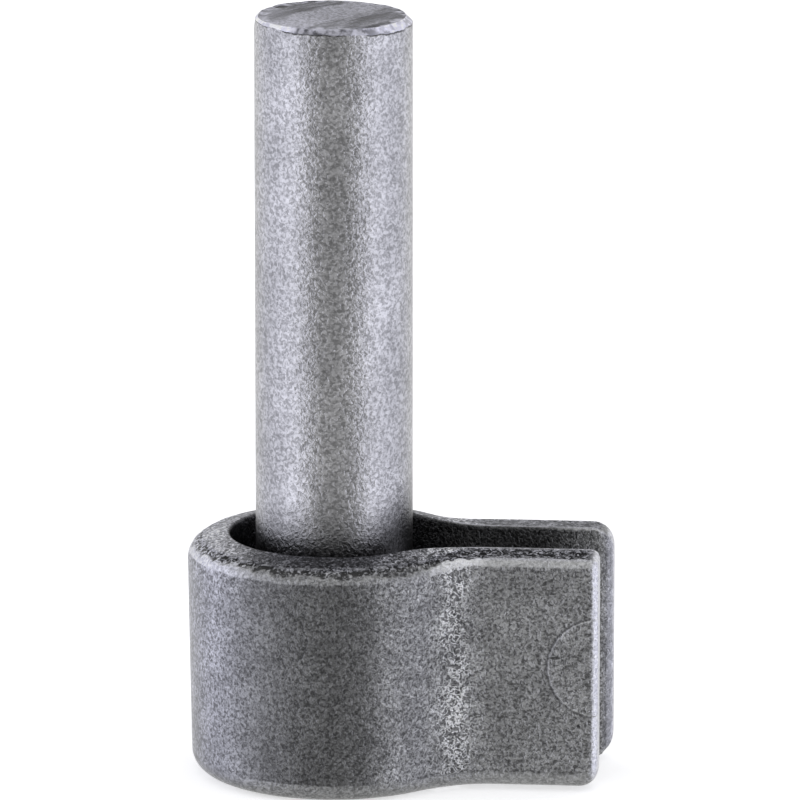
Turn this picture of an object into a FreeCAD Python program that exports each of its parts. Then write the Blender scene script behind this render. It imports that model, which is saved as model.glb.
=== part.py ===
import FreeCAD, Part
import math
import os

# A weld-on gate hinge pin: a cropped round bar held upright in the loop of one bent steel strip.
# The pin's axis is Z, the base plane is z = 0, and the strip's two legs reach along +X.
# All sizes are in millimetres and all angles in degrees.

# The pin
PIN_DIAMETER = 16.0
PIN_LENGTH = 78.5
TOP_CHAMFER = 0.75
FOOT_BEVEL = 2.0
FOOT_BEVEL_HEIGHT = 6.0

# The strip, and the loop and legs that it is bent into
STRIP_THICKNESS = 4.1
LOOP_HEIGHT = 25.0
PIN_CLEARANCE = 2.6
LEG_REACH = 27.5
BACK_LEG_EXTRA = 0.7
LEG_GAP = 8.0
NECK_RADIUS = 10.0

# The strip's edges: the bend raises the loop's inner edge, slopes its rim outward and leans its outer wall
CREST_RISE = 0.3
RIM_SPREAD = 0.3
FOOT_DRAW = 0.15
RIM_SLOPE = 12.0
RIM_ROUND = 2.4
FOOT_ROUND = 2.4
LEG_ROUND = 1.4
LEG_CORNER_EXTRA = 1.0

# The raised half-round tool mark at the end of the front leg
MARK_RADIUS = 5.2
MARK_HEIGHT = 0.2
MARK_RISE = 1.0

# The weld that joins the pin's foot to the loop, and stops short of the necks
WELD_TOE = 0.8
WELD_DIP = 0.6
WELD_STOP_ANGLE = 4.0

# Sizes that follow from those above
PIN_RADIUS = PIN_DIAMETER / 2
FOOT_RADIUS = PIN_RADIUS - FOOT_BEVEL
BORE_RADIUS = PIN_RADIUS + PIN_CLEARANCE
LOOP_RADIUS = BORE_RADIUS + STRIP_THICKNESS
LEG_OUTSIDE = LEG_GAP / 2 + STRIP_THICKNESS
LEG_HEIGHT = LOOP_HEIGHT - 2 * CREST_RISE
LEG_CORNER_RADIUS = LEG_ROUND + LEG_CORNER_EXTRA
NECK_CENTRE_Y = LEG_OUTSIDE + NECK_RADIUS
NECK_CENTRE_X = math.sqrt((LOOP_RADIUS + NECK_RADIUS) ** 2 - NECK_CENTRE_Y ** 2)
NECK_ANGLE = math.degrees(math.atan2(NECK_CENTRE_Y, NECK_CENTRE_X))

UP = FreeCAD.Vector(0, 0, 1)
AXIS_FOOT = FreeCAD.Vector(0, 0, 0)
FULL_TURN = 360.0
FRONT = -1
BACK = 1


def heading(angle):
    """A level direction, turned from +X by an angle."""
    turn = math.radians(angle)
    return FreeCAD.Vector(math.cos(turn), math.sin(turn), 0)


def on_arc(centre, radius, angle):
    """A point of a circle in the section's own plane, as (outward, height)."""
    turn = math.radians(angle)
    return centre[0] + radius * math.cos(turn), centre[1] + radius * math.sin(turn)


def edge_points(crest, slope, outer_round, thickness):
    """The four points of one long edge of the strip: its inner crest, then the arc of its outer side.

    crest is the height of the edge above the strip's middle, slope how far the edge leans outward,
    and thickness the strip's own at that edge.
    """
    rim_angle = 90 - slope
    tangent = outer_round * math.tan(math.radians(rim_angle / 2))
    outer_corner = crest - thickness * math.tan(math.radians(slope))
    centre = (thickness - outer_round, outer_corner - tangent)
    arc = [on_arc(centre, outer_round, angle) for angle in (rim_angle, rim_angle / 2, 0)]
    return [(0, crest)] + arc


def strip_section(inside, outward, upper, lower):
    """The closed outline of the strip, cut square to its run, from the points of its two edges.

    inside is the foot of the strip's inner face, and outward the level direction through its thickness.
    """
    middle = inside + UP * (LOOP_HEIGHT / 2)
    top = [middle + outward * depth + UP * height for depth, height in upper]
    foot = [middle + outward * depth - UP * height for depth, height in lower]
    return Part.Wire([
        Part.makeLine(top[0], top[1]),
        Part.Arc(*top[1:]).toShape(),
        Part.makeLine(top[3], foot[3]),
        Part.Arc(*reversed(foot[1:])).toShape(),
        Part.makeLine(foot[1], foot[0]),
        Part.makeLine(foot[0], top[0]),
    ])


def loop_section(angle):
    """The section of the strip in the loop, with its sloped rim and leaning outer wall."""
    outward = heading(angle)
    rim = edge_points(LOOP_HEIGHT / 2, RIM_SLOPE, RIM_ROUND, STRIP_THICKNESS + RIM_SPREAD)
    foot = edge_points(LOOP_HEIGHT / 2, 0, FOOT_ROUND, STRIP_THICKNESS - FOOT_DRAW)
    return strip_section(outward * BORE_RADIUS, outward, rim, foot)


def leg_section(side):
    """The square section of the strip where a leg starts."""
    outward = FreeCAD.Vector(0, side, 0)
    inside = FreeCAD.Vector(NECK_CENTRE_X, side * LEG_GAP / 2, 0)
    edge = edge_points(LEG_HEIGHT / 2, 0, LEG_ROUND, STRIP_THICKNESS)
    return strip_section(inside, outward, edge, edge)


def bent_loop():
    """The round part of the strip, turned about the pin's axis."""
    start = Part.Face(loop_section(NECK_ANGLE))
    return start.revolve(AXIS_FOOT, UP, FULL_TURN - 2 * NECK_ANGLE)


def neck(side):
    """The reverse bend between the loop and a leg, swept from one section to the other."""
    centre = FreeCAD.Vector(NECK_CENTRE_X, side * NECK_CENTRE_Y, 0)
    radius = NECK_RADIUS + STRIP_THICKNESS / 2
    to_loop = side * (180 + NECK_ANGLE)
    to_leg = side * 270
    middle = (to_loop + to_leg) / 2
    path = Part.Arc(*[centre + heading(angle) * radius for angle in (to_loop, middle, to_leg)])
    sweep = Part.BRepOffsetAPI.MakePipeShell(Part.Wire(path.toShape()))
    sweep.setFrenetMode(True)
    sweep.add(loop_section(side * NECK_ANGLE))
    sweep.add(leg_section(side))
    sweep.build()
    sweep.makeSolid()
    return sweep.shape()


def leg_end(side):
    """How far a leg reaches from the pin's axis."""
    return LEG_REACH + BACK_LEG_EXTRA if side == BACK else LEG_REACH


def leg(side):
    """A straight leg, its outline rounded at the free end and its edges rolled over."""
    left, right = NECK_CENTRE_X, leg_end(side)
    low, high = CREST_RISE, LOOP_HEIGHT - CREST_RISE
    turn = LEG_CORNER_RADIUS
    inside = side * LEG_GAP / 2

    def place(x, z):
        return FreeCAD.Vector(x, inside, z)

    diagonal = turn * (1 - math.sqrt(0.5))
    lower_arc = Part.Arc(
        place(right - turn, low), place(right - diagonal, low + diagonal), place(right, low + turn))
    upper_arc = Part.Arc(
        place(right, high - turn), place(right - diagonal, high - diagonal), place(right - turn, high))
    outline = Part.Wire([
        Part.makeLine(place(left, low), place(right - turn, low)),
        lower_arc.toShape(),
        Part.makeLine(place(right, low + turn), place(right, high - turn)),
        upper_arc.toShape(),
        Part.makeLine(place(right - turn, high), place(left, high)),
        Part.makeLine(place(left, high), place(left, low)),
    ])
    blank = Part.Face(outline).extrude(FreeCAD.Vector(0, side * STRIP_THICKNESS, 0))
    return blank.makeFillet(LEG_ROUND, outer_edges(blank, side))


def outer_edges(blank, side):
    """The edges round a leg's outer face, apart from the one at the neck."""
    close = STRIP_THICKNESS / 100
    found = []
    for edge in blank.Edges:
        box = edge.BoundBox
        on_face = min(side * box.YMin, side * box.YMax) > LEG_OUTSIDE - close
        at_neck = box.XMax < NECK_CENTRE_X + close
        if on_face and not at_neck:
            found.append(edge)
    return found


def tool_mark():
    """The raised half disc on the front leg's outer face, against the rounded end."""
    outward = FreeCAD.Vector(0, FRONT, 0)
    embedded = STRIP_THICKNESS / 2
    centre = FreeCAD.Vector(LEG_REACH, FRONT * (LEG_OUTSIDE - embedded), LOOP_HEIGHT / 2 + MARK_RISE)
    disc = Part.makeCylinder(MARK_RADIUS, embedded + MARK_HEIGHT, centre, outward)
    corner = FreeCAD.Vector(LEG_REACH - LEG_ROUND - MARK_RADIUS, FRONT * LOOP_RADIUS, 0)
    keep = Part.makeBox(MARK_RADIUS, LOOP_RADIUS, LOOP_HEIGHT, corner)
    return disc.common(keep)


def wrap_strap():
    """The whole strip: loop, two necks, two legs and the tool mark, as one solid."""
    pieces = [neck(FRONT), neck(BACK), leg(FRONT), leg(BACK), tool_mark()]
    return bent_loop().fuse(pieces).removeSplitter()


def turned(corners, start_angle, sweep_angle):
    """A solid turned about the pin's axis from the corners of a closed outline, as (radius, height)."""
    outward = heading(start_angle)
    places = [outward * radius + UP * height for radius, height in corners]
    face = Part.Face(Part.makePolygon(places + places[:1]))
    return face.revolve(AXIS_FOOT, UP, sweep_angle)


def hinge_pin():
    """The round bar: a flat foot, a bevel for the weld, the bearing wall and the chamfered top."""
    corners = [
        (0, 0),
        (FOOT_RADIUS, 0),
        (PIN_RADIUS, FOOT_BEVEL_HEIGHT),
        (PIN_RADIUS, PIN_LENGTH - TOP_CHAMFER),
        (PIN_RADIUS - TOP_CHAMFER, PIN_LENGTH),
        (0, PIN_LENGTH),
    ]
    return turned(corners, 0, FULL_TURN)


def foot_weld():
    """The weld between the pin's bevel and the loop's bore, dressed flat below."""
    bevel_share = WELD_TOE / FOOT_BEVEL_HEIGHT
    corners = [
        (FOOT_RADIUS + FOOT_BEVEL * bevel_share, WELD_TOE),
        (BORE_RADIUS, WELD_TOE),
        (BORE_RADIUS, FOOT_BEVEL_HEIGHT - WELD_DIP),
        (PIN_RADIUS, FOOT_BEVEL_HEIGHT),
    ]
    start = NECK_ANGLE + WELD_STOP_ANGLE
    return turned(corners, start, FULL_TURN - 2 * start)


os.makedirs("parts", exist_ok=True)
hinge_pin().exportStep("parts/hinge_pin.step")
wrap_strap().exportStep("parts/wrap_strap.step")
foot_weld().exportStep("parts/foot_weld.step")
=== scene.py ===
# %% [markdown]
# # A gate hinge pin in raw steel
# A cropped round bar stands in the loop of one bent steel strip. The strip's two legs are welded to a gate
# post, and the eye of the gate turns on the bar. Nothing on the part is painted, so the whole look comes from
# the metal: its grain, its torn and rolled edges, and the light that it mirrors.
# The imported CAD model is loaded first. It fixes the size and the place of everything that follows.

# %% Load the frame
import math

import bpy
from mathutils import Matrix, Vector


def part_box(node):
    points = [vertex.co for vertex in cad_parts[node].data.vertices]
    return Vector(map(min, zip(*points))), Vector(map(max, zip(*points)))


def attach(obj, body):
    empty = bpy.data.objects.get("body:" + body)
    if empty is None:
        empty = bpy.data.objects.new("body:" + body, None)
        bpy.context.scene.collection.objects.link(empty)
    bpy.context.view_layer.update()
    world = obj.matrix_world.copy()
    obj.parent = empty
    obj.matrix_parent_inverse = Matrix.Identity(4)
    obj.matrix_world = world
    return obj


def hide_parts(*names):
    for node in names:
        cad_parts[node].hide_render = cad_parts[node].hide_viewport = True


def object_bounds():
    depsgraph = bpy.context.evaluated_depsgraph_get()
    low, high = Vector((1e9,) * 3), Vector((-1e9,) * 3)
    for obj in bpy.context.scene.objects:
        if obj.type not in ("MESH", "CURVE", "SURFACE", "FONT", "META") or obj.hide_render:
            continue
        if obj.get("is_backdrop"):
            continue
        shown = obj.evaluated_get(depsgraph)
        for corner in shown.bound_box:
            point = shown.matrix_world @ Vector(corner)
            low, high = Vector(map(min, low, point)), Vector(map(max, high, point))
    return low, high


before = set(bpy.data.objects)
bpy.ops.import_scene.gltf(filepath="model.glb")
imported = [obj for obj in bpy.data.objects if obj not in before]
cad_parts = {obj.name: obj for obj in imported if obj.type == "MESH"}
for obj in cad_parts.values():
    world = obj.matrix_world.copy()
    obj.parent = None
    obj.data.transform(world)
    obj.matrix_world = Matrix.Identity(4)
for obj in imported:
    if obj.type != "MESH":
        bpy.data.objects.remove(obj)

CAD_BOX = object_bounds()
MM = 0.001


def in_mm(lengths):
    """Lengths in millimetres, rounded to be printed."""
    return [round(length / MM, 2) for length in lengths]


print("CAD box in mm:", *map(in_mm, CAD_BOX))

# %% [markdown]
# Node trees do the shaping and the finishes here, so a few short helpers come first. A number that varies
# over a surface is called a field in Blender. Wrapping it in a small class lets the rules below be written as
# sums, such as `a + b * 2`, and each sum adds one Math node to the tree. The same class serves for geometry
# and for shaders, because both kinds of tree share these nodes.

# %% Fields
class Field:
    """A number that varies over a surface. Sums on it add Math nodes to its tree."""

    def __init__(self, tree, socket):
        self.tree = tree
        self.socket = socket

    def math(self, operation, *others):
        node = self.tree.nodes.new("ShaderNodeMath")
        node.operation = operation
        for slot, value in zip(node.inputs, (self,) + others):
            feed(self.tree, slot, value)
        return Field(self.tree, node.outputs[0])

    def __add__(self, other):
        return self.math("ADD", other)

    def __mul__(self, other):
        return self.math("MULTIPLY", other)

    def __sub__(self, other):
        return self.math("SUBTRACT", other)

    def __truediv__(self, other):
        return self.math("DIVIDE", other)

    def __rsub__(self, other):
        return self * -1.0 + other

    __radd__ = __add__
    __rmul__ = __mul__

    def lesser(self, other):
        return self.math("MINIMUM", other)

    def greater(self, other):
        return self.math("MAXIMUM", other)

    def share(self):
        """The field held between 0 and 1."""
        return self.greater(0.0).lesser(1.0)

    def step(self, low, high):
        """A smooth step from 0 at low to 1 at high."""
        values = {"Value": self, "From Min": low, "From Max": high}
        node = add_node(self.tree, "ShaderNodeMapRange", values, interpolation_type="SMOOTHSTEP")
        return Field(self.tree, node.outputs["Result"])

    def until(self, low, high):
        """A smooth step down, from 1 at low to 0 at high."""
        return 1.0 - self.step(low, high)

    def band(self, start, full, fade, stop):
        """A smooth band: 0 before start, 1 from full to fade, and 0 after stop."""
        return self.step(start, full) * self.until(fade, stop)

    def blend(self, other, share):
        """This field where share is 0, and the other where it is 1."""
        return self + (other - self) * share


print("field sums ready")

# %% [markdown]
# The next helpers add nodes and link them. Noise is the most used of them: it gives soft random blobs, and a
# fixed seed makes them the same on every run.

# %% Helpers for node trees
def feed(tree, slot, value):
    """Gives an input a plain value, or links a field or another node's output to it."""
    if isinstance(value, Field):
        tree.links.new(value.socket, slot)
    elif isinstance(value, bpy.types.NodeSocket):
        tree.links.new(value, slot)
    else:
        slot.default_value = value


def add_node(tree, kind, values=None, **settings):
    """A node with its settings made and its inputs filled."""
    node = tree.nodes.new(kind)
    for name, value in settings.items():
        setattr(node, name, value)
    for name, value in (values or {}).items():
        feed(tree, node.inputs[name], value)
    return node


def axes(tree, vector):
    """The three parts of a vector, as fields."""
    node = add_node(tree, "ShaderNodeSeparateXYZ", {"Vector": vector})
    return [Field(tree, output) for output in node.outputs]


def spot(tree, x, y, z):
    """A vector put together from three fields or numbers."""
    return add_node(tree, "ShaderNodeCombineXYZ", {"X": x, "Y": y, "Z": z}).outputs["Vector"]


def noise(tree, vector, size, seed, detail=2.0, twist=0.0):
    """Soft random blobs of about the given size, from 0 to 1 with a mean of a half. A twist curls them."""
    scale = 1.0 / size if not isinstance(size, Field) else size.math("POWER", -1.0)
    values = {"Vector": vector, "W": seed, "Scale": scale, "Detail": detail, "Distortion": twist}
    return Field(tree, add_node(tree, "ShaderNodeTexNoise", values, noise_dimensions="4D").outputs["Fac"])


print("node helpers ready")

# %% [markdown]
# ## Finishes
# Raw steel that has been tumbled with other parts has a fine grain of tiny dents, a few tenths of a millimetre
# across, with specks and thin curled scratches between them. Every piece here has it, so it is one shader
# group, placed in each material with its own sizes. It gives masks and a height, and the material decides what
# they do. The curled scratches are the lines where a slow noise passes through its mean. An image could give
# the grain too, but noise on Object coordinates needs no file and has no seams.

# %% Steel grain group
def start_group(name, inputs, outputs):
    """An empty shader group with named number sockets, ready for its nodes."""
    tree = bpy.data.node_groups.new(name, "ShaderNodeTree")
    for label, value in inputs:
        socket = tree.interface.new_socket(label, in_out="INPUT", socket_type="NodeSocketFloat")
        socket.default_value = value
    for label in outputs:
        tree.interface.new_socket(label, in_out="OUTPUT", socket_type="NodeSocketFloat")
    given = tree.nodes.new("NodeGroupInput")
    result = tree.nodes.new("NodeGroupOutput")
    return tree, {label: Field(tree, given.outputs[label]) for label, _ in inputs}, result


grain, size_of, grain_out = start_group(
    "Tumbled steel grain",
    (("Grain size", 0.6 * MM), ("Speck size", 0.9 * MM), ("Wave size", 2.5 * MM), ("Patch size", 4.0 * MM)),
    ("Grain", "Specks", "Squiggles", "Patches", "Height"))
here = add_node(grain, "ShaderNodeTexCoord").outputs["Object"]
fine = noise(grain, here, size_of["Grain size"], seed=1.0, twist=0.8)
coarse = noise(grain, here, size_of["Speck size"], seed=2.0, twist=1.2)
patches = noise(grain, here, size_of["Patch size"], seed=3.0, detail=3.0)
slow = noise(grain, here, size_of["Wave size"], seed=4.0)
curls = noise(grain, here, size_of["Speck size"] * 1.15, seed=6.0, detail=1.0, twist=0.6)
feed(grain, grain_out.inputs["Grain"], fine.step(0.34, 0.66))
feed(grain, grain_out.inputs["Specks"], coarse.step(0.51, 0.60))
feed(grain, grain_out.inputs["Squiggles"], (curls - 0.5).math("ABSOLUTE").until(0.01, 0.08))
feed(grain, grain_out.inputs["Patches"], patches.step(0.3, 0.7))
feed(grain, grain_out.inputs["Height"], fine * 0.6 + coarse * 0.4 + slow * 0.4)
print("group:", grain.name, "with", len(grain.nodes), "nodes")

# %% [markdown]
# Edges that rub against other parts are burnished lighter, in a ragged band. The shapes made further down
# carry an attribute that says where their rolled edges are, and this group breaks that clean mask up with
# noise, so that no edge has an even line along it.

# %% Burnished edge group
burnish, given_edge, burnish_out = start_group(
    "Burnished edge", (("Edge", 0.0), ("Break size", 0.9 * MM)), ("Burnish",))
here = add_node(burnish, "ShaderNodeTexCoord").outputs["Object"]
ragged = noise(burnish, here, given_edge["Break size"], seed=5.0, detail=4.0)
worn = (given_edge["Edge"] + (ragged - 0.5) * 1.3).step(0.35, 0.75)
feed(burnish, burnish_out.inputs["Burnish"], worn * given_edge["Edge"].step(0.0, 0.2))
print("group:", burnish.name, "with", len(burnish.nodes), "nodes")

# %% [markdown]
# A metal material is a Principled shader with Metallic at 1: its Base Color is then the colour of its
# reflections, and each rule below works out one brightness, the tone, and tints it at the end. Bare steel is
# kept from rusting by a thin film of oil, which is a weak Coat. At a glancing angle any metal turns as bright
# as a mirror, but dull steel does so less, and Specular Tint holds that back.

# %% Material helpers
OIL_ROUGHNESS = 0.4


def start_steel(name):
    """A metal material with a bare Principled shader, and its tree."""
    material = bpy.data.materials.new(name)
    material.use_nodes = True
    shader = material.node_tree.nodes["Principled BSDF"]
    shader.inputs["Metallic"].default_value = 1.0
    return material, material.node_tree, shader


def use_group(tree, group, **values):
    """A shader group placed in a material; its outputs come back as fields by name."""
    node = add_node(tree, "ShaderNodeGroup", node_tree=group)
    for label, value in values.items():
        feed(tree, node.inputs[label.replace("_", " ")], value)
    return {output.name: Field(tree, output) for output in node.outputs}


def stored(tree, label):
    """A number that the piece carries on its points."""
    node = add_node(tree, "ShaderNodeAttribute", attribute_name=label, attribute_type="GEOMETRY")
    return Field(tree, node.outputs["Fac"])


def tinted(tree, tone, red, green, blue):
    """A colour of one brightness with a slight tint."""
    values = {"Red": tone * red, "Green": tone * green, "Blue": tone * blue}
    return add_node(tree, "ShaderNodeCombineColor", values).outputs["Color"]


def dent(tree, shader, height, strength, depth):
    """Feeds a height to the shader's normal through a Bump node."""
    values = {"Height": height, "Strength": strength, "Distance": depth}
    feed(tree, shader.inputs["Normal"], add_node(tree, "ShaderNodeBump", values).outputs["Normal"])


def oiled(tree, shader, amount, edge):
    """A thin film of oil, and how bright the steel is at glancing angles."""
    shader.inputs["Specular Tint"].default_value = (edge, edge, edge, 1.0)
    feed(tree, shader.inputs["Coat Weight"], amount)
    shader.inputs["Coat Roughness"].default_value = OIL_ROUGHNESS


print("material helpers ready")

# %% [markdown]
# The strip is duller and darker than the bar. Its loop is darker than its legs, which is painted shade, and the
# loop's left side is lighter again, a painted highlight where the side light falls. The loop is also a little
# darker towards the bottom. The places come from Object coordinates and from attributes that the strip's own
# node tree stores, so the tone belongs to the strip from every side.

# %% Strip steel: grain and tone
LEG_TONE = 0.295
LOOP_PAINTED_SHADE = 0.160
LEFT_PAINTED_LIGHT = 0.29
strip_steel, tree, shader = start_steel("strip_steel")
marks = use_group(tree, grain, Grain_size=0.31 * MM, Speck_size=0.43 * MM, Patch_size=3.5 * MM)
here = add_node(tree, "ShaderNodeTexCoord").outputs["Object"]
x, y, z = axes(tree, here)
loop_share = stored(tree, "loop_share")
left = (x * -1.0).step(5.0 * MM, 13.0 * MM)
low = z.until(4.0 * MM, 12.0 * MM)
bite = x.band(4.0 * MM, 7.5 * MM, 11.5 * MM, 14.5 * MM)
# Painted shade darkens the loop, and a painted highlight lifts the loop's left side.
tone = LEG_TONE - loop_share * (LOOP_PAINTED_SHADE - left * LEFT_PAINTED_LIGHT) + bite * 0.05
tone = tone * (1.0 - low * loop_share * 0.15)
tone = tone * (marks["Patches"] * 0.36 + 0.82) * (marks["Grain"] * 1.3 + 0.32)
print("strip tone:", len(tree.nodes), "nodes")

# %% [markdown]
# The bending tool's bite has left coarse bright scratches in the hollow of each neck, thickest in the middle.
# The top edge is a sheared face, dull between its specks, with a painted highlight on the loop's left.

# %% Strip steel: necks and top edge
neck_share = stored(tree, "neck_share").math("POWER", 0.6)
neck_core = stored(tree, "neck_share").math("POWER", 2.5)
tone = tone * (1.0 - neck_core * 0.35) + marks["Specks"] * (neck_share * 0.10 + bite * 0.10 + 0.08)
bitten = (neck_core * 0.82 + bite * 0.24) * (marks["Patches"] * 0.75 + 0.42)
tone = tone + marks["Squiggles"] * (bitten + neck_share * 0.06 + 0.06 - loop_share * 0.03)
top = stored(tree, "top")
# The top's left part gets a painted highlight.
tone = tone * (1.0 + top * (marks["Specks"] * 0.6 + marks["Squiggles"] * 0.4 + left * 0.45 - 0.5))
print("necks and top:", len(tree.nodes), "nodes")

# %% [markdown]
# The front leg has a raised half moon from a tool, with a light rim and a painted shade line at its foot, one
# short nick and one small pit. The nick and the pit are ellipses in x and z, kept to the leg's outer face by its
# y.

# %% Strip steel: tool mark, nick and pit
NICK_X, NICK_Z = 23.15 * MM, 14.2 * MM
NICK_HALF_LENGTH, NICK_HALF_WIDTH = 0.6 * MM, 0.14 * MM
PIT_X, PIT_Z = 25.56 * MM, 7.07 * MM
from_mark = stored(tree, "from_mark")
mark_rim = from_mark.band(-0.10, 0.0, 0.03, 0.12)
mark_foot_shade = from_mark.band(0.06, 0.16, 0.22, 0.40)
raised = from_mark.until(-0.02, 0.12)
# The dark ring at the half moon's foot is painted shade.
tone = tone * (raised * 0.08 - mark_foot_shade * 0.55 + 1.0) + mark_rim * 0.20
nick_x, nick_z = (x - NICK_X) / NICK_HALF_LENGTH, (z - NICK_Z) / NICK_HALF_WIDTH
nick = (nick_x * nick_x + nick_z * nick_z).until(0.5, 1.3)
pit_x, pit_z = (x - PIT_X) / MM, (z - PIT_Z) / MM
pit = (pit_x * pit_x + pit_z * pit_z).until(0.01, 0.05)
struck = nick.greater(pit) * (y * -1.0).step(6.0 * MM, 7.0 * MM)
tone = tone * (1.0 - struck * 0.75)
print("marks:", len(tree.nodes), "nodes")

# %% [markdown]
# Along the rim runs a torn band, pitted dark and light; in the loop its pits are painted darker at the front and
# lighter at the left, as painted shade and painted highlight. Outside it the rolled edge is burnished, and it is
# painted lighter still where the side light catches it: along the upper edges, at the loop's left, in the necks
# and on the leg ends, while the loop's front is kept darker as painted shade. The inner wall is painted dark, as
# painted shade where it faces the bar and the gap between the legs. Where the side light shows, on the left, the
# top and the leg ends, the steel gets a cool tint, a painted tint of the bluish reflection.

# %% Strip steel: edges and shader
torn = stored(tree, "torn")
rolled = use_group(tree, burnish, Edge=stored(tree, "rolled"), Break_size=1.4 * MM)["Burnish"] * (1.0 - torn)
pits = noise(tree, here, 0.46 * MM, seed=31.0, twist=1.2).step(0.45, 0.66)
ragged = noise(tree, here, 2.2 * MM, seed=32.0, detail=3.0).step(0.42, 0.54)
upper = z.step(10.0 * MM, 15.0 * MM)
# Burnish on the rolled edge, plus painted highlight on the upper edges, the loop's left, the necks and the leg
# ends, and painted shade on the loop's front.
rubbed_and_lit = 0.26 - loop_share * 0.09 + upper * (0.10 - loop_share * 0.09 + left * 0.42 + neck_share * 0.50)
ends = stored(tree, "ends")
rubbed_and_lit = rubbed_and_lit.greater(ends * 0.62)
# A cool tint where the side light shows: a painted tint of the reflection.
cool = left.greater(top * 0.8).greater(ends * 0.6)
# In the loop the torn band's pits are painted darker at the front and lighter at the left.
tone = tone.blend(pits * (loop_share * (left * 0.40 - 0.10) + 0.60) + 0.012, torn)
flecks = marks["Squiggles"] * ends.greater(left * upper) * 0.28
tone = tone.blend(marks["Grain"] * 0.3 + flecks + rubbed_and_lit, rolled.greater(stored(tree, "crest")))
tone = tone * (1.0 - stored(tree, "edge_line") * ragged * (0.45 - loop_share * 0.2))
inside = stored(tree, "inside")
# The inner wall is painted dark: painted shade facing the bar and the gap between the legs.
tone = tone.blend(marks["Grain"] * 0.10 + 0.03, inside)

feed(tree, shader.inputs["Base Color"], tinted(tree, tone, 0.99, 0.995, cool * 0.09 + 1.0))
feed(tree, shader.inputs["Roughness"], marks["Grain"] * 0.08 + torn * 0.10 + 0.32)
oiled(tree, shader, (1.0 - inside * 0.85) * (1.0 - top * 0.9), edge=0.52)
height = marks["Height"] * (neck_share * 0.8 + bite * 0.3 + 1.0)
height = height + pits * torn * 0.5 + raised * 0.3 - struck * 0.5
dent(tree, shader, height, strength=1.0, depth=0.26 * MM)
print("material:", strip_steel.name, "with", len(tree.nodes), "nodes")

# %% [markdown]
# The bar is cleaner and brighter, with the same grain a little coarser. Its wall is painted darker where it goes
# down into the loop, most on the side of the legs: painted shade from the loop round it.

# %% Bar steel: wall
_, bar_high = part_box("hinge_pin")
BAR_RADIUS = bar_high.x
BAR_LENGTH = bar_high.z
bar_steel, tree, shader = start_steel("bar_steel")
marks = use_group(tree, grain, Grain_size=0.35 * MM, Speck_size=0.6 * MM, Patch_size=4.5 * MM)
x, y, z = axes(tree, add_node(tree, "ShaderNodeTexCoord").outputs["Object"])
flat_place = spot(tree, x, y, 0.0)
tone = (marks["Grain"] * 0.40 + 0.34) * (marks["Patches"] * 0.26 + 0.87) + marks["Specks"] * 0.06
leg_side = x.step(3.0 * MM, 7.5 * MM)
# Painted shade on the bar's foot, deeper towards the legs.
painted_foot_shade = (z - leg_side * (2.0 * MM)).until(23.5 * MM, 29.5 * MM)
tone = tone * (1.0 - painted_foot_shade * (leg_side * 0.18 + 0.72))
print("bar wall:", len(tree.nodes), "nodes")

# %% [markdown]
# A shear cropped the bar. Its blade drags streaks across the end, all in one direction, and leaves a clean
# band where the metal broke. Streaks are noise on squeezed coordinates: slow along the stroke, quick across it.
# Near the rim the end is chipped bright, and the side that the blade bit first is polished lighter.

# %% Bar steel: cropped end
SHEAR_X, SHEAR_Y = 0.53, 0.85
BITE_X, BITE_Y = 0.84, 0.54


def shear_axes(x, y):
    """How far a place is along the shear's stroke, and across it."""
    return x * SHEAR_X + y * SHEAR_Y, x * SHEAR_Y - y * SHEAR_X


cropped = stored(tree, "cropped")
shear_along, shear_across = shear_axes(x, y)
drag = noise(tree, spot(tree, shear_along * 0.22, shear_across, z), 1.1 * MM, seed=13.0, detail=4.0)
wander = noise(tree, flat_place, 3.0 * MM, seed=14.0, detail=3.0) - 0.5
clean = (shear_across / MM + wander * 4.0 + 0.8).math("ABSOLUTE").until(1.9, 2.9)
face_tone = (drag.step(0.36, 0.64) * 0.20 + 0.08).blend(0.33, clean) * (marks["Grain"] * 0.9 + 0.55)
chips = noise(tree, spot(tree, x, y, z), 0.9 * MM, seed=16.0, detail=3.0).step(0.42, 0.60)
from_axis = (x * x + y * y).math("SQRT") / MM
first_bite = (x * BITE_X + y * BITE_Y + wander * (3.0 * MM)).until(-4.5 * MM, -1.5 * MM)
face_tone = face_tone + first_bite * 0.10
face_tone = face_tone.blend(0.60, (from_axis + wander * 5.0).step(6.3, 7.3) * chips)
tone = tone.blend(face_tone, cropped)
print("cropped end:", len(tree.nodes), "nodes")

# %% [markdown]
# The chamfer was knocked over, not turned, so it is made of small bright facets, with a dark wavy line below it
# where its lip folds on the wall. Its left and right sides and its top edge are painted lighter still, as
# painted highlights where the side light falls. A gash breaks it at the back left.

# %% Bar steel: chamfer and shader
around_rim = noise(tree, flat_place, 4.0 * MM, seed=11.0, detail=3.0)
rim_wave = noise(tree, flat_place, 1.5 * MM, seed=15.0, detail=3.0) - 0.5
rim_drop = stored(tree, "rim_drop") + rim_wave * 1.5
chamfer = rim_drop.until(1.0, 1.12) * (1.0 - cropped)
on_sides = x.math("ABSOLUTE").step(2.5 * MM, 6.0 * MM)
lip_line = rim_drop.band(1.0, 1.15, 1.22, 1.42) * (around_rim + on_sides * 0.07).step(0.42, 0.50)
lit_edge = rim_drop.until(0.10, 0.35) * (1.0 - cropped)
facets = noise(tree, spot(tree, x, y, z * 0.5), 2.2 * MM, seed=12.0).step(0.44, 0.58)
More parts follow.
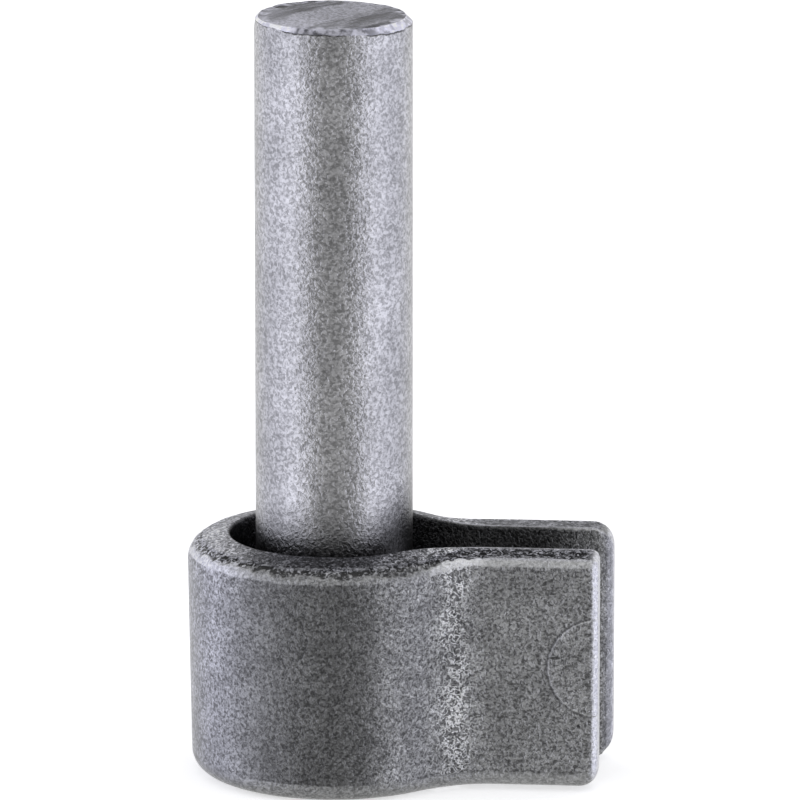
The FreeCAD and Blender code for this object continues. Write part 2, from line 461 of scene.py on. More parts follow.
# on_sides and lit_edge give painted highlights on the chamfer's sides and top edge.
chamfer_tone = facets * 0.38 + on_sides * (first_bite * 0.24 + 0.38) + lit_edge * 0.1 + chips * 0.40 + 0.10
tone = tone.blend(chamfer_tone, chamfer) * (1.0 - lip_line * 0.8)
gash_x = (x / MM + 5.6) / 0.8
gash_y = (y / MM - 3.6) / 1.3
gash = (gash_x * gash_x + gash_y * gash_y + wander * 3.0).until(0.5, 1.1)
gash = gash * z.step(BAR_LENGTH - 1.2 * MM, BAR_LENGTH - 0.8 * MM)
tone = tone * (1.0 - gash * 0.85)

cool = cropped.greater(chamfer) * 0.12 + 1.01
feed(tree, shader.inputs["Base Color"], tinted(tree, tone, 0.995, 0.99, cool))
feed(tree, shader.inputs["Roughness"], marks["Grain"] * 0.08 + cropped * 0.1 + 0.30)
oiled(tree, shader, (0.4 - painted_foot_shade * 0.3) * (1.0 - cropped * 0.9), edge=0.8)
height = marks["Height"] + drag * cropped * (1.0 - clean * 0.6) - lip_line * 0.4 - gash * 0.8
dent(tree, shader, height, strength=1.0, depth=0.16 * MM)
print("material:", bar_steel.name, "with", len(tree.nodes), "nodes")

# %% [markdown]
# The weld sits low in the loop, between the bar's foot and the strip. Weld metal is greyer than the steel that
# it joins, and its heat leaves straw and blue tints, which here follow slow patches of noise.

# %% Weld steel
weld_steel, tree, shader = start_steel("weld_steel")
marks = use_group(tree, grain, Grain_size=0.3 * MM, Speck_size=0.6 * MM, Patch_size=2.5 * MM)
tone = marks["Grain"] * 0.15 + 0.24
heat = marks["Patches"]
straw_to_blue = tinted(tree, tone, 1.12 - heat * 0.22, 0.99, heat * 0.28 + 0.84)
feed(tree, shader.inputs["Base Color"], straw_to_blue)
feed(tree, shader.inputs["Roughness"], marks["Grain"] * 0.15 + 0.42)
dent(tree, shader, marks["Height"], strength=0.4, depth=0.12 * MM)
print("material:", weld_steel.name, "with", len(tree.nodes), "nodes")

# %% [markdown]
# ## The bent strip
# The strip is one flat bar bent round a former, so its shape follows a rule: a section carried along a path.
# Geometry Nodes suit that. The path is a line of seven corners, and the Fillet Curve node rounds each corner
# to its own bend radius. Three of the corners, rounded by the loop's radius, make the loop exactly, because
# the rounds then meet end to end.

# %% The path of the strip
_, strip_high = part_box("wrap_strap")
STRIP_THICKNESS = 4.1 * MM
LOOP_RADIUS = 14.7 * MM
LEG_GAP = 8.0 * MM
NECK_RADIUS = 10.0 * MM
FRONT_LEG_REACH = 27.5 * MM
BACK_LEG_REACH = strip_high.x
LOOP_BENDS = 3

half = STRIP_THICKNESS / 2
loop_middle = LOOP_RADIUS - half
neck_middle = NECK_RADIUS + half
leg_middle = LEG_GAP / 2 + half
neck_x = math.sqrt((LOOP_RADIUS + NECK_RADIUS) ** 2 - (leg_middle + neck_middle) ** 2)
neck_angle = math.atan2(leg_middle + neck_middle, neck_x)
neck_turn = math.pi / 2 - neck_angle
corner_x = neck_x - neck_middle * math.tan(neck_turn / 2)
bend_turn = (2 * math.pi - 2 * neck_angle) / LOOP_BENDS
bend_reach = loop_middle / math.cos(bend_turn / 2)

corners = [(FRONT_LEG_REACH, -leg_middle, 0.0), (corner_x, -leg_middle, neck_middle)]
for bend in range(LOOP_BENDS):
    angle = -neck_angle - bend_turn * (bend + 0.5)
    corners.append((bend_reach * math.cos(angle), bend_reach * math.sin(angle), loop_middle))
corners += [(corner_x, leg_middle, neck_middle), (BACK_LEG_REACH, leg_middle, 0.0)]
print("path corners in mm:", [in_mm(corner[:2]) for corner in corners])

# %% [markdown]
# A curve's points each have a radius. It is usually the thickness of a tube, but nothing here is a tube, so
# that number can carry the bend radius of its corner into the tree.

# %% Outline helper
def add_object(name, data):
    """A new object in the scene, at the origin."""
    made = bpy.data.objects.new(name, data)
    bpy.context.scene.collection.objects.link(made)
    return made


def outline(name, points, closed):
    """A curve of straight runs. Each point is (x, y, radius of its corner)."""
    curve = bpy.data.curves.new(name, "CURVE")
    curve.dimensions = "3D"
    spline = curve.splines.new("POLY")
    spline.points.add(len(points) - 1)
    for point, (x, y, radius) in zip(spline.points, points):
        point.co = (x, y, 0.0, 1.0)
        point.radius = radius
    spline.use_cyclic_u = closed
    return add_object(name, curve)


strip_path = outline("strip_path", corners, closed=False)
print("outline:", strip_path.name)

# %% [markdown]
# The section changes along the strip. Bending squeezes the strip's inner side, which pushes the inner edge up
# and leaves the loop's rim sloping outward. The legs keep a square section. All outer edges are rolled over.
# Each section is four corners with their rounds, as (depth through the strip, height).

# %% The two sections of the strip
LOOP_HEIGHT = strip_high.z
RIM_SLOPE = math.radians(12.0)
RIM_SPREAD = 0.3 * MM
RIM_SLACK = 0.02 * MM
FOOT_DRAW = 0.15 * MM
CREST_RISE = 0.3 * MM
INNER_ROUND = 0.35 * MM
RIM_ROUND = 2.4 * MM
FOOT_ROUND = 2.3 * MM
LEG_TOP_ROUND = 1.15 * MM
LEG_FOOT_ROUND = 2.1 * MM

rim_depth = STRIP_THICKNESS + RIM_SPREAD - RIM_SLACK
rim_outside = LOOP_HEIGHT - rim_depth * math.tan(RIM_SLOPE)
leg_top = LOOP_HEIGHT - CREST_RISE
loop_section = outline("loop_section", [
    (0.0, 0.0, INNER_ROUND), (0.0, LOOP_HEIGHT, INNER_ROUND),
    (rim_depth, rim_outside, RIM_ROUND), (STRIP_THICKNESS - FOOT_DRAW, 0.0, FOOT_ROUND)], closed=True)
leg_section = outline("leg_section", [
    (0.0, CREST_RISE, INNER_ROUND), (0.0, leg_top, INNER_ROUND),
    (STRIP_THICKNESS, leg_top, LEG_TOP_ROUND), (STRIP_THICKNESS, CREST_RISE, LEG_FOOT_ROUND)], closed=True)
print("rim's height inside and outside, in mm:", in_mm((LOOP_HEIGHT, rim_outside)))

# %% [markdown]
# Every piece is made in the same way: a flat grid is laid out, and each of its points is carried to its place
# on the piece. One side of the grid runs along the piece, the other round its section. A sweep with Curve to
# Mesh would keep one section all along, so the points are placed by sampling curves instead. Where the grid's
# sides meet, the doubled points are merged, so that the piece is closed.

# %% Tree helpers: start, sheet and curves
SEAM_GAP = 0.001 * MM


def start_tree(name, inputs):
    """An empty geometry tree with named inputs. Gives the tree, its inputs by name, and its output node."""
    tree = bpy.data.node_groups.new(name, "GeometryNodeTree")
    for label, kind, value in inputs:
        socket = tree.interface.new_socket(label, in_out="INPUT", socket_type="NodeSocket" + kind)
        if value is not None:
            socket.default_value = value
    tree.interface.new_socket("Geometry", in_out="OUTPUT", socket_type="NodeSocketGeometry")
    given = tree.nodes.new("NodeGroupInput")
    fields = {label: Field(tree, given.outputs[label]) for label, _, _ in inputs}
    return tree, fields, tree.nodes.new("NodeGroupOutput")


def flat_sheet(tree, points_x, points_y):
    """A flat grid, and how far along its two sides each of its points is, from 0 to 1."""
    values = {"Size X": 1.0, "Size Y": 1.0, "Vertices X": points_x, "Vertices Y": points_y}
    sheet = add_node(tree, "GeometryNodeMeshGrid", values).outputs["Mesh"]
    grid_x, grid_y, _ = axes(tree, add_node(tree, "GeometryNodeInputPosition").outputs["Position"])
    return sheet, grid_x + 0.5, grid_y + 0.5


def carry(tree, sheet, target):
    """Carries a sheet's points to their places, and merges those that meet."""
    moved = add_node(tree, "GeometryNodeSetPosition", {"Geometry": sheet, "Position": target}).outputs[0]
    return add_node(tree, "GeometryNodeMergeByDistance", {"Geometry": moved, "Distance": SEAM_GAP}).outputs[0]


def rounded_curve(tree, shape, steps):
    """An outline object's curve with its corners rounded to the radius that each point carries."""
    found = add_node(tree, "GeometryNodeObjectInfo", {"Object": shape})
    radius = add_node(tree, "GeometryNodeInputRadius").outputs["Radius"]
    values = {"Curve": found.outputs["Geometry"], "Radius": radius, "Count": steps}
    return add_node(tree, "GeometryNodeFilletCurve", values, mode="POLY").outputs["Curve"]


def along_curve(tree, curve, **where):
    """A point of a curve and its direction there, at a factor or a length."""
    (label, value), = where.items()
    values = {"Curves": curve, label.capitalize(): value, "Curve Index": 0}
    node = add_node(tree, "GeometryNodeSampleCurve", values, mode=label.upper())
    return axes(tree, node.outputs["Position"]), axes(tree, node.outputs["Tangent"])


print("sheet and curve helpers ready")

# %% [markdown]
# Wear is a push along the normals, and its masks are stored on the points, so that the material can read where
# it is. A tree ends with real geometry and its material, because instances would be lost on export.

# %% Tree helpers: wear and end
def store(tree, shape, **fields):
    """Keeps fields on the points under their names, so that the material can read them."""
    for label, value in fields.items():
        values = {"Geometry": shape, "Name": label, "Value": value}
        node = add_node(tree, "GeometryNodeStoreNamedAttribute", values, data_type="FLOAT")
        shape = node.outputs["Geometry"]
    return shape


def recall(tree, label):
    """Reads back a stored field."""
    node = add_node(tree, "GeometryNodeInputNamedAttribute", {"Name": label}, data_type="FLOAT")
    return Field(tree, node.outputs["Attribute"])


def surface(tree):
    """The place of each point of a made shape, and the three parts of its normal."""
    place = add_node(tree, "GeometryNodeInputPosition").outputs["Position"]
    return place, axes(tree, add_node(tree, "GeometryNodeInputNormal").outputs["Normal"])


def push(tree, shape, depth):
    """Moves each point along its normal by a field."""
    normal = add_node(tree, "GeometryNodeInputNormal").outputs["Normal"]
    offset = add_node(tree, "ShaderNodeVectorMath", {0: normal}, operation="SCALE")
    feed(tree, offset.inputs["Scale"], depth)
    values = {"Geometry": shape, "Offset": offset.outputs[0]}
    return add_node(tree, "GeometryNodeSetPosition", values).outputs[0]


def end_tree(tree, shape, material, result):
    """Makes the shape real, smooths its shading, gives it its material and ends the tree."""
    real = add_node(tree, "GeometryNodeRealizeInstances", {"Geometry": shape}).outputs[0]
    smooth = add_node(tree, "GeometryNodeSetShadeSmooth", {"Geometry": real}).outputs[0]
    done = add_node(tree, "GeometryNodeSetMaterial", {"Geometry": smooth, "Material": material}).outputs[0]
    feed(tree, result.inputs["Geometry"], done)
    print("tree:", tree.name, "with", len(tree.nodes), "nodes")


print("wear helpers ready")

# %% [markdown]
# The strip's tree comes first. Each row of its sheet is a section, and the rows follow the path. The first and
# last rows shrink to close the two ends, the next few turn through a quarter circle to round the end's edges,
# and the rest are spread evenly along the run.

# %% Strip tree: rows along the path
END_ROWS = 5
ROUND_ROWS = 6
QUARTER_TURN = math.pi / 2
strip_tree, given, result = start_tree("Bent strip", (
    ("Path", "Object", None), ("Loop section", "Object", None), ("Leg section", "Object", None),
    ("Steel", "Material", None), ("Rows", "Int", 420), ("Columns", "Int", 224),
    ("Thickness", "Float", STRIP_THICKNESS), ("Height", "Float", LOOP_HEIGHT),
    ("Front leg", "Float", 10.0 * MM), ("Back leg", "Float", 10.0 * MM), ("Neck", "Float", 10.0 * MM),
    ("Front end round", "Float", 1.0 * MM), ("Back end round", "Float", 1.4 * MM),
    ("Front top fall", "Float", 0.5 * MM), ("Front top corner", "Float", 0.9 * MM),
    ("Front foot corner", "Float", 2.0 * MM), ("Back top corner", "Float", 2.3 * MM),
    ("Back foot corner", "Float", 2.5 * MM),
    ("Wave depth", "Float", 0.05 * MM), ("Tear depth", "Float", 0.22 * MM),
    ("Mark x", "Float", 27.5 * MM), ("Mark z", "Float", 13.15 * MM),
    ("Mark radius", "Float", 5.0 * MM), ("Mark height", "Float", 0.14 * MM), ("Seed", "Float", 3.0)))
tree = strip_tree

sheet, along_share, around_share = flat_sheet(tree, given["Rows"], given["Columns"] + 1.0)
last = given["Rows"] - 1.0
row = along_share * last
lead = float(END_ROWS + ROUND_ROWS)
closing = (row.lesser(last - row) / float(END_ROWS)).share()
front_turn = ((row - END_ROWS) / float(ROUND_ROWS)).share() * QUARTER_TURN
back_turn = ((last - row - END_ROWS) / float(ROUND_ROWS)).share() * QUARTER_TURN
straight = ((row - lead) / (last - 2 * lead)).share()

path = rounded_curve(tree, given["Path"], 32)
run = Field(tree, add_node(tree, "GeometryNodeCurveLength", {"Curve": path}).outputs["Length"])
front_round = given["Front end round"]
back_round = given["Back end round"]
distance = (front_round * (1.0 - front_turn.math("COSINE"))
            + straight * (run - front_round - back_round) + back_round * back_turn.math("COSINE"))
end_gap = distance.lesser(run - distance)
print("rows along the path:", len(tree.nodes), "nodes")

# %% [markdown]
# The columns go round the section. A Float Curve node puts more of them on the rolled edges than on the flat
# faces. The loop's section and the leg's are both sampled at each column, and the neck blends one into the
# other, as the real strip does over its reverse bend.

# %% Strip tree: sections
COLUMN_SPREAD = ((0.16, 0.40), (0.48, 0.56), (0.86, 0.90))
loop_start = given["Front leg"] + given["Neck"]
loop_stop = run - given["Back leg"] - given["Neck"]
in_loop = distance.band(given["Front leg"], loop_start, loop_stop, loop_stop + given["Neck"])
spread = add_node(tree, "ShaderNodeFloatCurve", {"Value": around_share})
for column_share, section_share in COLUMN_SPREAD:
    spread.mapping.curves[0].points.new(column_share, section_share)
for point in spread.mapping.curves[0].points:
    point.handle_type = "VECTOR"
spread.mapping.update()
around = Field(tree, spread.outputs["Value"])
loop_at, _ = along_curve(tree, rounded_curve(tree, given["Loop section"], 10), factor=around)
leg_at, _ = along_curve(tree, rounded_curve(tree, given["Leg section"], 10), factor=around)
depth = leg_at[0].blend(loop_at[0], in_loop)
height = leg_at[1].blend(loop_at[1], in_loop)
print("sections:", len(tree.nodes), "nodes")

# %% [markdown]
# Each leg end has two corners. They aren't alike, so each has its own radius, and the front leg's outer top edge
# falls a little. A corner is made by drawing the section in by the depth of a circle at that place.

# %% Strip tree: leg corners
half_depth = given["Thickness"] * 0.5
half_height = given["Height"] * 0.5
edge_inset = front_round * (1.0 - front_turn.math("SINE")) + back_round * (1.0 - back_turn.math("SINE"))
to_top = height.step(half_height - 1.0 * MM, half_height + 1.0 * MM)
to_back = distance.step(run * 0.45, run * 0.55)
near_top = height.step(given["Height"] * 0.6, given["Height"] * 0.95)
on_front_leg = (1.0 - in_loop) * (1.0 - to_back)
height = height - given["Front top fall"] * (depth / given["Thickness"]) * near_top * on_front_leg
front_corner = given["Front foot corner"].blend(given["Front top corner"], to_top)
back_corner = given["Back foot corner"].blend(given["Back top corner"], to_top)
corner = front_corner.blend(back_corner, to_back)
short = corner - end_gap.lesser(corner)
corner_inset = corner - (corner * corner - short * short).math("SQRT")
depth = half_depth + (depth - half_depth) * (1.0 - edge_inset / half_depth) * closing
height = half_height + (height - half_height) * (1.0 - corner_inset / half_height) * closing

at, heading = along_curve(tree, path, length=distance)
outward = depth - half_depth
target = spot(tree, at[0] - heading[1] * outward, at[1] + heading[0] * outward, height)
sheet = store(tree, sheet, loop_share=in_loop, neck_share=in_loop * (1.0 - in_loop) * 4.0,
              across=depth / given["Thickness"], end_gap=end_gap)
shape = carry(tree, sheet, target)
print("sweep done:", len(tree.nodes), "nodes")

# %% [markdown]
# A real strip isn't as clean as its section. The shear that cut it left a torn band along the top edge, wide on
# the legs and narrow in the loop, where the bend rolled the rest smooth. The back leg's end is rough as well.
# A jagged copy of the depth through the strip gives the band its broken sides.

# %% Strip tree: torn band
place, facing = surface(tree)
x, y, z = axes(tree, place)
facing_up = facing[2]
across = recall(tree, "across")
in_loop = recall(tree, "loop_share")
end_gap = recall(tree, "end_gap")

jagged = across + (noise(tree, place, 1.1 * MM, given["Seed"], detail=4.0) - 0.5) * 0.55
tear_low = in_loop * 0.54 + 0.14
tear_high = in_loop * 0.22 + 0.70
inner_side = across.blend(jagged, in_loop)
torn = inner_side.step(tear_low - 0.03, tear_low + 0.05) * jagged.until(tear_high - 0.04, tear_high + 0.04)
torn = torn * facing_up.step(0.4, 0.6) * end_gap.step(0.6 * MM, 1.4 * MM)
torn = torn * (1.0 - y.step(0.0, 6.0 * MM) * 0.7)
rough_end = end_gap.until(0.7 * MM, 1.1 * MM) * jagged.until(0.20, 0.34) * y.step(0.0, 1.0 * MM) * 0.7
torn = torn.greater(rough_end)
print("torn band:", len(tree.nodes), "nodes")

# %% [markdown]
# The finish also needs to know where the edges are rolled over, where the top is flat, and where the legs' sharp
# inner edge is. All of these follow from which way the surface faces and how deep in the strip a point lies.
# The half moon on the front leg is a raised disc, of which the leg's end cuts off one half.

# %% Strip tree: rolled edges and tool mark
TURN_REACH = 1.6 * MM
TURN_HEIGHT = 2.4 * MM
outer = across.step(0.55, 0.8)
slant = facing_up.math("ABSOLUTE")
not_flat = slant.until(0.93, 0.99)
foot = (facing_up * -1.0).step(0.05, 0.22) * not_flat
slanted = slant.step(0.3 - in_loop * 0.12, 0.6 - in_loop * 0.12) * not_flat
ends = end_gap.until(0.35 * MM, 0.95 * MM)
rolled = (outer * slanted.greater(foot)).greater(ends)
top = facing_up.step(0.75, 0.97)
crest = across.until(0.07, 0.14) * facing_up.step(0.3, 0.6) * (1.0 - in_loop)
edge_line = slant.band(0.03, 0.09, 0.13, 0.24) * outer * end_gap.step(1.0 * MM, 2.0 * MM)
# The inner wall, where the material paints shade.
inside = across.until(0.02, 0.10) * end_gap.step(1.4 * MM, 8.0 * MM)

mark_x = x - given["Mark x"]
mark_z = z - given["Mark z"]
from_mark = (mark_x * mark_x + mark_z * mark_z).math("SQRT")
on_front = (y * -1.0).step(7.2 * MM, 7.6 * MM) * in_loop.until(0.0, 0.2) * outer
turn_x = (TURN_REACH - end_gap).greater(0.0)
turn_z = (z - (given["Height"] - TURN_HEIGHT)).greater(0.0)
round_turn = (turn_x * turn_x + turn_z * turn_z).math("SQRT").step(0.85 * MM, 1.05 * MM)
rolled = rolled.greater(round_turn * on_front)
mark = from_mark.until(given["Mark radius"] - 0.3 * MM, given["Mark radius"] + 0.3 * MM) * on_front
print("edges and mark:", len(tree.nodes), "nodes")

# %% [markdown]
# Last, tumbling left slow waves in every face. Waves, mark and tears are added up into one push. The waves go
# mostly inward, which keeps the strip inside the size of its CAD model.

# %% Strip tree: store and push
FAR_FROM_MARK = 9.0
waves = noise(tree, place, 3.2 * MM, given["Seed"] + 1.0) - 0.75
pits = noise(tree, place, 0.7 * MM, given["Seed"] + 2.0, detail=3.0).step(0.3, 0.7)
amount = (waves * given["Wave depth"] + mark * given["Mark height"]
          - torn * (pits * 0.8 + 0.2) * given["Tear depth"])
mark_gap = ((from_mark - given["Mark radius"]) / MM).blend(FAR_FROM_MARK, 1.0 - on_front)
shape = store(tree, shape, torn=torn, rolled=rolled, ends=ends, top=top, crest=crest,
              from_mark=mark_gap, inside=inside, edge_line=edge_line)
end_tree(tree, push(tree, shape, amount), given["Steel"], result)

# %% [markdown]
# A tree only runs as a modifier on an object. Each input of the modifier is set by its socket's identifier
# before the object is evaluated. The evaluated result is then copied into a plain mesh, and the outlines that
# fed the tree are thrown away.

# %% Make the strip
def grow(name, tree, **values):
    """Runs a geometry tree once and gives its result as a plain mesh object."""
    host = add_object(name + "_host", bpy.data.meshes.new(name + "_host"))
    modifier = host.modifiers.new("shape", "NODES")
    modifier.node_group = tree
    sockets = {item.name: item.identifier for item in tree.interface.items_tree if item.in_out == "INPUT"}
    for label, value in values.items():
        modifier[sockets[label.replace("_", " ")]] = value
    ready = host.evaluated_get(bpy.context.evaluated_depsgraph_get())
    mesh = bpy.data.meshes.new_from_object(ready)
    mesh.name = name
    bpy.data.objects.remove(host)
    return add_object(name, mesh)


def measure(piece):
    """Prints a piece's box in mm and how many triangles it has."""
    low, high = in_mm(piece.bound_box[0]), in_mm(piece.bound_box[6])
    count = sum(len(face.vertices) - 2 for face in piece.data.polygons)
    print("piece:", piece.name, "from", low, "to", high, "with", count, "triangles")


def throw_away(*shapes):
    """Deletes the outlines that fed a tree."""
    for shape in shapes:
        curve = shape.data
        bpy.data.objects.remove(shape)
        bpy.data.curves.remove(curve)


bent_strip = grow(
    "bent_strip", strip_tree, Path=strip_path, Loop_section=loop_section, Leg_section=leg_section,
    Steel=strip_steel, Front_leg=FRONT_LEG_REACH - neck_x, Back_leg=BACK_LEG_REACH - neck_x,
    Neck=neck_middle * neck_turn)
throw_away(strip_path, loop_section, leg_section)
measure(bent_strip)

# %% [markdown]
# ## The bar
# The bar is a length of round bar cropped in a shear, so it is a turned shape with rough ends. A screw modifier
# could turn it. A grid that is wrapped round an axis does the same and keeps the row and column at hand, so
# the chamfer at the top can be uneven, as it is where the bar was knocked about.

# %% Profile of the bar
TOP_CHAMFER = 0.75 * MM
FOOT_RADIUS = BAR_RADIUS - 2.0 * MM
FOOT_BEVEL_HEIGHT = 6.0 * MM
bar_profile = outline("bar_profile", [
    (0.0, 0.0, 0.0), (FOOT_RADIUS, 0.0, 0.4 * MM), (BAR_RADIUS, FOOT_BEVEL_HEIGHT, 3.0 * MM),
    (BAR_RADIUS, BAR_LENGTH - TOP_CHAMFER, 0.3 * MM), (BAR_RADIUS - TOP_CHAMFER, BAR_LENGTH, 0.15 * MM),
    (0.0, BAR_LENGTH, 0.0)], closed=False)
print("bar's radius and length in mm:", in_mm((BAR_RADIUS, BAR_LENGTH)))

# %% [markdown]
# The rows of the sheet run up the profile, and more of them are kept for the top than for the plain wall. Near
# the top, each point's distance from the sharp corner is shrunk by its own amount, which makes the chamfer
# small on one side and large on the other.

# %% Bar tree: turned sheet
bar_tree, given, result = start_tree("Cropped bar", (
    ("Profile", "Object", None), ("Steel", "Material", None), ("Rows", "Int", 330), ("Columns", "Int", 260),
    ("Radius", "Float", BAR_RADIUS), ("Length", "Float", BAR_LENGTH), ("Chamfer wear", "Float", 0.28),
    ("Knock depth", "Float", 0.12 * MM), ("Shear depth", "Float", 0.14 * MM),
    ("Wave depth", "Float", 0.03 * MM), ("Seed", "Float", 8.0)))
tree = bar_tree
sheet, turn_share, rise = flat_sheet(tree, given["Columns"] + 1.0, given["Rows"])
turn = turn_share * (2 * math.pi)
rise = (rise * 1.5).lesser((rise - 0.6) * 0.25 + 0.9)
at, _ = along_curve(tree, rounded_curve(tree, given["Profile"], 6), factor=rise)
side, ahead = turn.math("COSINE"), turn.math("SINE")
inset = given["Radius"] - at[0]
drop = given["Length"] - at[1]
uneven = noise(tree, spot(tree, side, ahead, 0.0), 0.7, given["Seed"] + 3.0) - 0.5
wear = 1.0 - (given["Chamfer wear"] - side * 0.25 - uneven * 0.6)
shrink = 1.0 - (1.0 - wear) * inset.greater(drop).until(0.8 * MM, 3.0 * MM)
radius = given["Radius"] - inset * shrink
target = spot(tree, radius * side, radius * ahead, given["Length"] - drop * shrink)
shape = carry(tree, store(tree, sheet, rim_drop=drop / TOP_CHAMFER), target)
print("turned sheet:", len(tree.nodes), "nodes")

# %% [markdown]
# Three kinds of wear are pushed in along the normals: knocks on the rim, the shear's drag on the two ends, and
# the slow waves of rolled bar.

# %% Bar tree: wear
place, facing = surface(tree)
x, y, z = axes(tree, place)
from_axis = (x * x + y * y).math("SQRT")
near_top = z.step(given["Length"] - 1.3 * MM, given["Length"] - 0.6 * MM)
rim = near_top * from_axis.step(given["Radius"] - 1.6 * MM, given["Radius"] - 0.7 * MM)
knocks = noise(tree, spot(tree, x, y, z * 0.5), 3.0 * MM, given["Seed"], detail=3.0).step(0.35, 0.7)
shear_along, shear_across = shear_axes(x, y)
stroke = spot(tree, shear_along * 0.3, shear_across, z)
drag = noise(tree, stroke, 2.2 * MM, given["Seed"] + 1.0, detail=3.0)
flat = facing[2].math("ABSOLUTE").step(0.8, 0.97)
waves = noise(tree, place, 4.0 * MM, given["Seed"] + 2.0) - 0.75
shape = store(tree, shape, cropped=flat)
amount = (waves * given["Wave depth"] - rim * knocks * given["Knock depth"]
          - flat * drag * given["Shear depth"])
end_tree(tree, push(tree, shape, amount), given["Steel"], result)

# %% [markdown]
# The bar's tree needs only its profile and its steel, since its sizes are already set on the inputs.

# %% Make the bar
cropped_bar = grow("cropped_bar", bar_tree, Profile=bar_profile, Steel=bar_steel)
throw_away(bar_profile)
measure(cropped_bar)

# %% [markdown]
# ## The weld
# The weld runs round the bar's foot inside the loop and stops short of the necks. It fills the groove between
# the bar's bevel and the strip, and is sunk a little into both, because weld metal melts into what it joins.

# %% Section of the weld
weld_low, weld_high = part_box("foot_weld")
BORE_RADIUS = LOOP_RADIUS - STRIP_THICKNESS
WELD_TOE = weld_low.z
WELD_TOP = weld_high.z
WELD_DIP = 0.6 * MM
WELD_STOP = neck_angle + math.radians(4.0)
SUNK = 0.15 * MM
toe_radius = FOOT_RADIUS + (BAR_RADIUS - FOOT_RADIUS) * WELD_TOE / FOOT_BEVEL_HEIGHT
weld_section = outline("weld_section", [
    (toe_radius - SUNK, WELD_TOE, 0.2 * MM), (BORE_RADIUS + SUNK, WELD_TOE, 0.2 * MM),
    (BORE_RADIUS + SUNK, WELD_TOP - WELD_DIP, 0.3 * MM), (BAR_RADIUS - SUNK, WELD_TOP, 0.3 * MM)], closed=True)
print("weld's foot and top in mm:", in_mm((WELD_TOE, WELD_TOP)))

# %% [markdown]
# Weld metal sets in small overlapping ripples. It is the same kind of rule again: a section carried round an
# arc, closed at its two ends, and pushed up and down by a wave that repeats along it. A little noise on the
# wave's phase keeps the ripples from looking machined.

# %% Weld tree
END_SHARE = 40.0
weld_tree, given, result = start_tree("Rippled weld", (
    ("Section", "Object", None), ("Steel", "Material", None), ("Rows", "Int", 241), ("Columns", "Int", 64),
    ("Start angle", "Float", WELD_STOP), ("Ripples", "Float", 46.0), ("Ripple depth", "Float", 0.18 * MM),
    ("Middle radius", "Float", (toe_radius + BORE_RADIUS) / 2),
    ("Middle height", "Float", (WELD_TOE + WELD_TOP) / 2), ("Seed", "Float", 21.0)))
tree = weld_tree
sheet, run, around = flat_sheet(tree, given["Rows"], given["Columns"] + 1.0)
turn = given["Start angle"] + run * (2 * math.pi - given["Start angle"] * 2.0)
at, _ = along_curve(tree, rounded_curve(tree, given["Section"], 5), factor=around)
to_end = 1.0 - (run.lesser(1.0 - run) * END_SHARE).share()
closing = (1.0 - to_end * to_end).greater(0.0).math("SQRT")
radius = given["Middle radius"] + (at[0] - given["Middle radius"]) * closing
height = given["Middle height"] + (at[1] - given["Middle height"]) * closing
target = spot(tree, radius * turn.math("COSINE"), radius * turn.math("SINE"), height)
shape = carry(tree, store(tree, sheet, run=run), target)

place, facing = surface(tree)
wobble = noise(tree, place, 2.5 * MM, given["Seed"]) * 0.9
phase = (recall(tree, "run") * given["Ripples"] + wobble).math("FRACT")
ripple = (phase * (1.0 - phase) * 4.0).math("SQRT")
open_side = facing[2].math("ABSOLUTE").step(0.3, 0.8)
amount = (ripple - 0.6) * open_side * given["Ripple depth"]
end_tree(tree, push(tree, shape, amount), given["Steel"], result)

# %% [markdown]
# The weld is grown as the other two were.

# %% Make the weld
rippled_weld = grow("rippled_weld", weld_tree, Section=weld_section, Steel=weld_steel)
throw_away(weld_section)
measure(rippled_weld)

# %% [markdown]
# ## Joining the frame
# Each new mesh stands for one CAD node, which is hidden and stays behind as the collision shape. The part has
# no joints, so all of it rides on one body.

# %% Ride and replace
for piece, node, finish in (
        (cropped_bar, "hinge_pin", "pin_steel"),
        (bent_strip, "wrap_strap", "strap_steel"),
        (rippled_weld, "foot_weld", "weld_steel")):
    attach(piece, "root")
    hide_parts(node)
    print(piece.name, "stands for", node)

# %% [markdown]
# ## Stage
# Metal shows what stands round it, so the light is most of its look. Round bar looks round because its sides
# mirror something bright and its front something dim. The world is a plain soft studio made from the direction
# alone: bright sides, a dim front and a soft top. To the camera it is white, and the half behind the part is
# white in the metal too. Light Path tells these rays apart.

# %% World
CAMERA_TURN = math.radians(5.047)
CAMERA_TILT = math.radians(13.644)
DIM_LEVEL, SIDE_LEVEL, FRONT_SIDE_LEVEL = 0.33, 0.52, 0.40
OVERHEAD_LEVEL, BELOW_LEVEL = 0.45, 0.25
scene = bpy.context.scene
scene.view_settings.view_transform = "Standard"
world = bpy.data.worlds.new("studio")
scene.world = world
world.use_nodes = True
tree = world.node_tree
way = axes(tree, add_node(tree, "ShaderNodeTexCoord").outputs["Generated"])
behind = way[1] * math.cos(CAMERA_TURN) - way[0] * math.sin(CAMERA_TURN)
sideways = (way[0] * math.cos(CAMERA_TURN) + way[1] * math.sin(CAMERA_TURN)).math("ABSOLUTE")
boxes = sideways.step(0.52, 0.76)
front_boxes = boxes * (behind * -1.0).step(0.1, 0.45)
above = way[2].step(0.5, 0.9) * OVERHEAD_LEVEL + (way[2] * -1.0).step(0.35, 0.75) * BELOW_LEVEL
level = DIM_LEVEL + boxes * SIDE_LEVEL + front_boxes * FRONT_SIDE_LEVEL + above

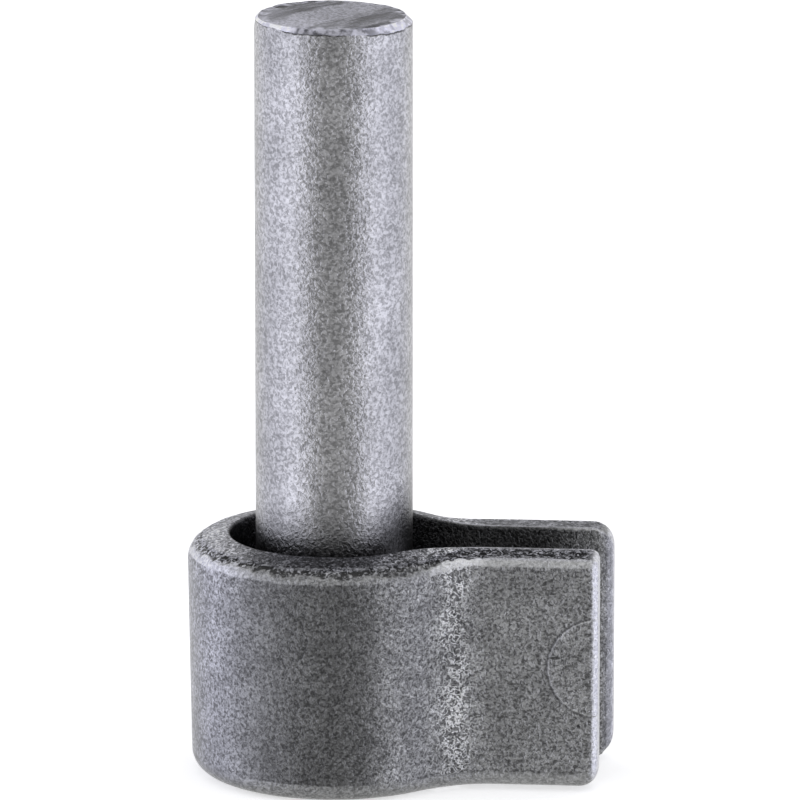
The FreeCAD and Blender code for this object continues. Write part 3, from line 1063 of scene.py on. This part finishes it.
rays = add_node(tree, "ShaderNodeLightPath").outputs
to_camera = Field(tree, rays["Is Camera Ray"])
to_mirror = Field(tree, rays["Is Glossy Ray"]).greater(Field(tree, rays["Is Transmission Ray"]))
white = to_camera.greater(to_mirror * behind.step(0.45, 0.85))
lilac = boxes * (1.0 - white)
colour = add_node(tree, "ShaderNodeCombineColor", {
    "Red": 1.0 - lilac * 0.03, "Green": 1.0 - lilac * 0.02, "Blue": 1.0 + lilac * 0.09})
backdrop = tree.nodes["Background"]
feed(tree, backdrop.inputs["Strength"], level.blend(1.0, white))
feed(tree, backdrop.inputs["Color"], colour.outputs["Color"])
print("world:", len(tree.nodes), "nodes")

# %% [markdown]
# The floor is white to the camera and keeps the part's soft shadow: a diffuse floor shows the shadow, and a
# glow lifts it to white. For all other rays it is a dull grey, so that it throws little light up on the metal,
# and glossy rays pass it by, so that the metal mirrors only the studio.

# %% Floor
FLOOR_SIDE = 4.0
PALE = (0.9, 0.9, 0.9, 1.0)
WHITE = (1.0, 1.0, 1.0, 1.0)
DULL = (0.34, 0.32, 0.30, 1.0)
GLOW = 0.55
reach = FLOOR_SIDE / 2
floor_corners = [(-reach, -reach, 0), (reach, -reach, 0), (reach, reach, 0), (-reach, reach, 0)]
floor_mesh = bpy.data.meshes.new("floor")
floor_mesh.from_pydata(floor_corners, [], [(0, 1, 2, 3)])
floor = add_object("floor", floor_mesh)
pale_floor = bpy.data.materials.new("pale_floor")
pale_floor.use_nodes = True
tree = pale_floor.node_tree
tree.nodes.remove(tree.nodes["Principled BSDF"])
pale = add_node(tree, "ShaderNodeBsdfDiffuse", {"Color": PALE})
glow = add_node(tree, "ShaderNodeEmission", {"Color": WHITE, "Strength": GLOW})
lit = add_node(tree, "ShaderNodeAddShader", {0: pale.outputs[0], 1: glow.outputs[0]})
dull = add_node(tree, "ShaderNodeBsdfDiffuse", {"Color": DULL})
to_camera = add_node(tree, "ShaderNodeLightPath").outputs["Is Camera Ray"]
mix = add_node(tree, "ShaderNodeMixShader", {0: to_camera, 1: dull.outputs[0], 2: lit.outputs[0]})
feed(tree, tree.nodes["Material Output"].inputs["Surface"], mix.outputs[0])
floor_mesh.materials.append(pale_floor)
floor.visible_glossy = False
floor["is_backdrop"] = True
print("floor:", FLOOR_SIDE, "m wide")

# %% [markdown]
# The camera looks from a little to the right and above, through a long lens. Its angle, distance and aim were
# fitted to the bar's and the strip's outlines.

# %% Camera
LENS_PER_IMAGE = 9942 / 800
CAMERA_DISTANCE = 1.0091
AIM = Vector((6.666, 0.589, 38.585)) * MM
back = Vector((math.sin(CAMERA_TURN) * math.cos(CAMERA_TILT),
               -math.cos(CAMERA_TURN) * math.cos(CAMERA_TILT), math.sin(CAMERA_TILT)))
camera_data = bpy.data.cameras.new("camera")
camera_data.sensor_width = 36.0
camera_data.lens = camera_data.sensor_width * LENS_PER_IMAGE
camera_data.clip_start = 0.01
camera_data.clip_end = 100.0
camera = add_object("camera", camera_data)
camera.location = AIM + back * CAMERA_DISTANCE
camera.rotation_mode = "QUATERNION"
camera.rotation_quaternion = (-back).to_track_quat("-Z", "Y")
scene.camera = camera
print("camera lens:", round(camera_data.lens, 1), "mm")

# %% [markdown]
# The box of the finished pieces is printed, to set beside the box of the CAD model printed at the start.

# %% Sizes and finish
visual_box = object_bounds()
print("visual box in mm:", *map(in_mm, visual_box))
